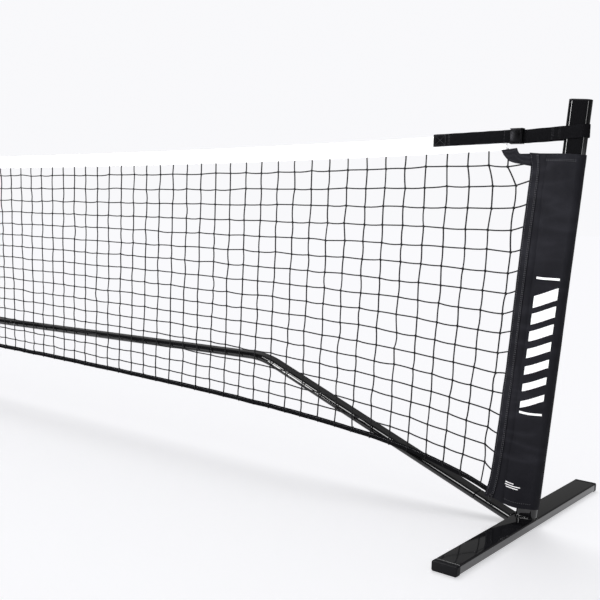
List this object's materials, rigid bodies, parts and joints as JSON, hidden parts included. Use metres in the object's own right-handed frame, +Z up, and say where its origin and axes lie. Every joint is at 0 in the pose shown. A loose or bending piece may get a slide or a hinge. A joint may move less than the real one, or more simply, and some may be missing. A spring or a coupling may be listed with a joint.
{
  "type": "portable pickleball net",
  "caption": "Portable pickleball net: leaning end posts on floor beams, bent brace tubes and rails to a centre stand, and a string net with white headband strapped between sleeves.",
  "frame": {"origin": "on the floor, at the middle of the net and of the floor beams", "axes": "+X along the net, +Y from the side where the straps and buckles show to the other, +Z up"},
  "size_m": [6.875, 0.78, 0.9772],
  "materials": {
    "black_paint": "gloss black powder coat",
    "cap_plastic": "black moulded plastic",
    "button_steel": "bright zinc",
    "buckle_metal": "satin black",
    "sleeve_fabric": "black woven polyester",
    "webbing": "black webbing",
    "headband_vinyl": "white coated tape",
    "net_twine": "black knotted twine"
  },
  "bodies": {
    "frame": {"right_foot_beam": "black_paint", "right_post_stub": "black_paint", "right_post_tube": "black_paint", "right_brace_stub": "black_paint", "right_brace_tube": "black_paint", "right_rail_outer": "black_paint", "right_rail_inner": "black_paint", "right_foot_cap_front": "cap_plastic", "right_foot_cap_back": "cap_plastic", "right_post_cap": "cap_plastic", "right_sleeve": "sleeve_fabric", "right_strap_loop": "webbing", "right_strap_tail": "webbing", "right_buckle_frame": "buckle_metal", "left_foot_beam": "black_paint", "left_post_stub": "black_paint", "left_post_tube": "black_paint", "left_brace_stub": "black_paint", "left_brace_tube": "black_paint", "left_rail_outer": "black_paint", "left_rail_inner": "black_paint", "left_foot_cap_front": "cap_plastic", "left_foot_cap_back": "cap_plastic", "left_post_cap": "cap_plastic", "left_sleeve": "sleeve_fabric", "left_strap_loop": "webbing", "left_strap_tail": "webbing", "left_buckle_frame": "buckle_metal", "centre_foot_beam": "black_paint", "centre_upright": "black_paint", "centre_coupler": "black_paint", "centre_foot_cap_front": "cap_plastic", "centre_foot_cap_back": "cap_plastic", "net_panel": "net_twine", "net_headband": "headband_vinyl", "net_bottom_band": "webbing"},
    "right_lever": {"right_buckle_lever": "buckle_metal"},
    "right_button_brace": {"right_button_brace": "button_steel"},
    "right_button_rail_outer": {"right_button_rail_outer": "button_steel"},
    "right_button_rail_inner": {"right_button_rail_inner": "button_steel"},
    "right_button_centre": {"right_button_centre": "button_steel"},
    "right_button_post": {"right_button_post": "button_steel"},
    "left_lever": {"left_buckle_lever": "buckle_metal"},
    "left_button_brace": {"left_button_brace": "button_steel"},
    "left_button_rail_outer": {"left_button_rail_outer": "button_steel"},
    "left_button_rail_inner": {"left_button_rail_inner": "button_steel"},
    "left_button_centre": {"left_button_centre": "button_steel"},
    "left_button_post": {"left_button_post": "button_steel"}
  },
  "joints": [
    {"name": "right_lever_turn", "type": "hinge", "parent": "frame", "child": "right_lever", "pos_m": [3.291, -0.0322, 0.897], "axis": [0, 0, 1], "range_deg": [0, 75], "stiffness_Nm_per_rad": 0.02},
    {"name": "right_brace_button_press", "type": "slide", "parent": "frame", "child": "right_button_brace", "axis": [0, -1, 0], "range_m": [0, 0.003], "stiffness_N_per_m": 400},
    {"name": "right_rail_outer_button_press", "type": "slide", "parent": "frame", "child": "right_button_rail_outer", "axis": [0, -1, 0], "range_m": [0, 0.003], "stiffness_N_per_m": 400},
    {"name": "right_rail_inner_button_press", "type": "slide", "parent": "frame", "child": "right_button_rail_inner", "axis": [0, 1, 0], "range_m": [0, 0.003], "stiffness_N_per_m": 400},
    {"name": "right_centre_button_press", "type": "slide", "parent": "frame", "child": "right_button_centre", "axis": [0, -1, 0], "range_m": [0, 0.003], "stiffness_N_per_m": 400},
    {"name": "right_post_button_press", "type": "slide", "parent": "frame", "child": "right_button_post", "axis": [0, -1, 0], "range_m": [0, 0.003], "stiffness_N_per_m": 400},
    {"name": "left_lever_turn", "type": "hinge", "parent": "frame", "child": "left_lever", "pos_m": [-3.291, -0.0322, 0.897], "axis": [0, 0, -1], "range_deg": [0, 75], "stiffness_Nm_per_rad": 0.02},
    {"name": "left_brace_button_press", "type": "slide", "parent": "frame", "child": "left_button_brace", "axis": [0, -1, 0], "range_m": [0, 0.003], "stiffness_N_per_m": 400},
    {"name": "left_rail_outer_button_press", "type": "slide", "parent": "frame", "child": "left_button_rail_outer", "axis": [0, -1, 0], "range_m": [0, 0.003], "stiffness_N_per_m": 400},
    {"name": "left_rail_inner_button_press", "type": "slide", "parent": "frame", "child": "left_button_rail_inner", "axis": [0, 1, 0], "range_m": [0, 0.003], "stiffness_N_per_m": 400},
    {"name": "left_centre_button_press", "type": "slide", "parent": "frame", "child": "left_button_centre", "axis": [0, -1, 0], "range_m": [0, 0.003], "stiffness_N_per_m": 400},
    {"name": "left_post_button_press", "type": "slide", "parent": "frame", "child": "left_button_post", "axis": [0, -1, 0], "range_m": [0, 0.003], "stiffness_N_per_m": 400}
  ]
}
